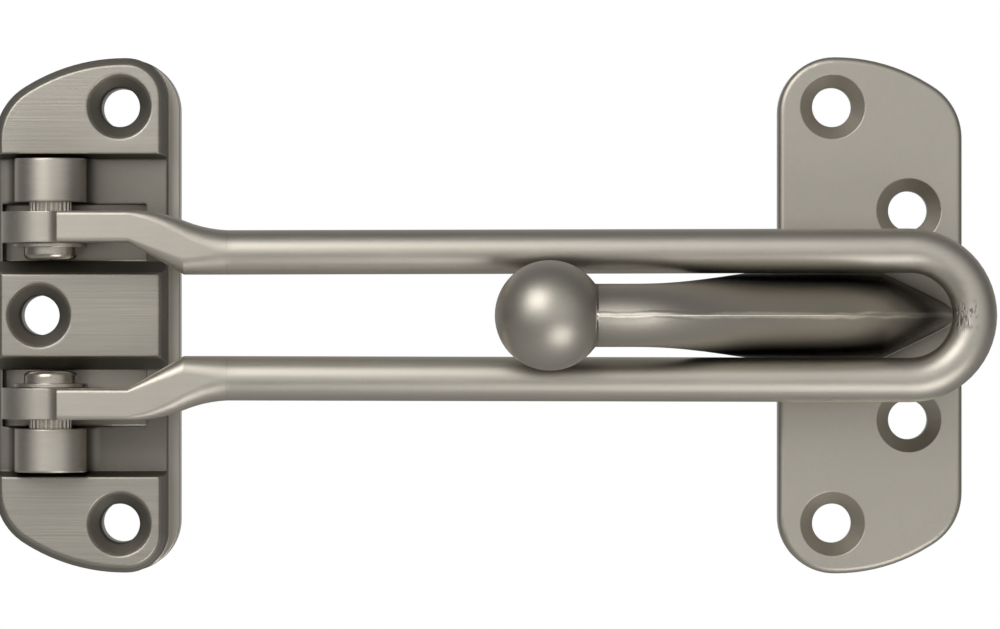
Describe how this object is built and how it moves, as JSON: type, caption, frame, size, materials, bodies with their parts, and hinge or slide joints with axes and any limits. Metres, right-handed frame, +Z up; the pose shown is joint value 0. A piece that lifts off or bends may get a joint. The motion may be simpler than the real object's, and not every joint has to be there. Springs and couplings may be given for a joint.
{
  "type": "swing bar door guard",
  "caption": "Door guard with a looped bar hinged on a frame bracket and a door keeper whose ball-ended horn stands inside the loop.",
  "frame": {"origin": "on the wall plane behind the hinge axis, halfway up the bracket", "axes": "+X along the bar from hinge to loop, +Y into the wall, +Z up along the hinge axis"},
  "size_m": [0.1449, 0.0324, 0.0756],
  "materials": {
    "bracket_nickel": "satin nickel over cast zinc, brushed on the raised pads",
    "bar_nickel": "satin nickel over forged steel",
    "keeper_nickel": "satin nickel over cast zinc, fine matt",
    "pin_steel": "nickel plated steel, bright",
    "washer_steel": "nickel plated steel"
  },
  "bodies": {
    "frame_side": {"hinge_bracket": "bracket_nickel", "upper_hinge_pin": "pin_steel", "lower_hinge_pin": "pin_steel", "upper_washer": "washer_steel", "lower_washer": "washer_steel"},
    "bar": {"swing_bar": "bar_nickel"},
    "door_side": {"keeper": "keeper_nickel"}
  },
  "joints": [
    {"name": "bar_swing", "type": "hinge", "parent": "frame_side", "child": "bar", "pos_m": [0, -0.01, 0], "axis": [0, 0, -1], "range_deg": [-0.6, 1.2]},
    {"name": "keeper_travel", "type": "slide", "parent": "frame_side", "child": "door_side", "axis": [-1, 0, 0], "range_m": [0, 0.072]}
  ]
}
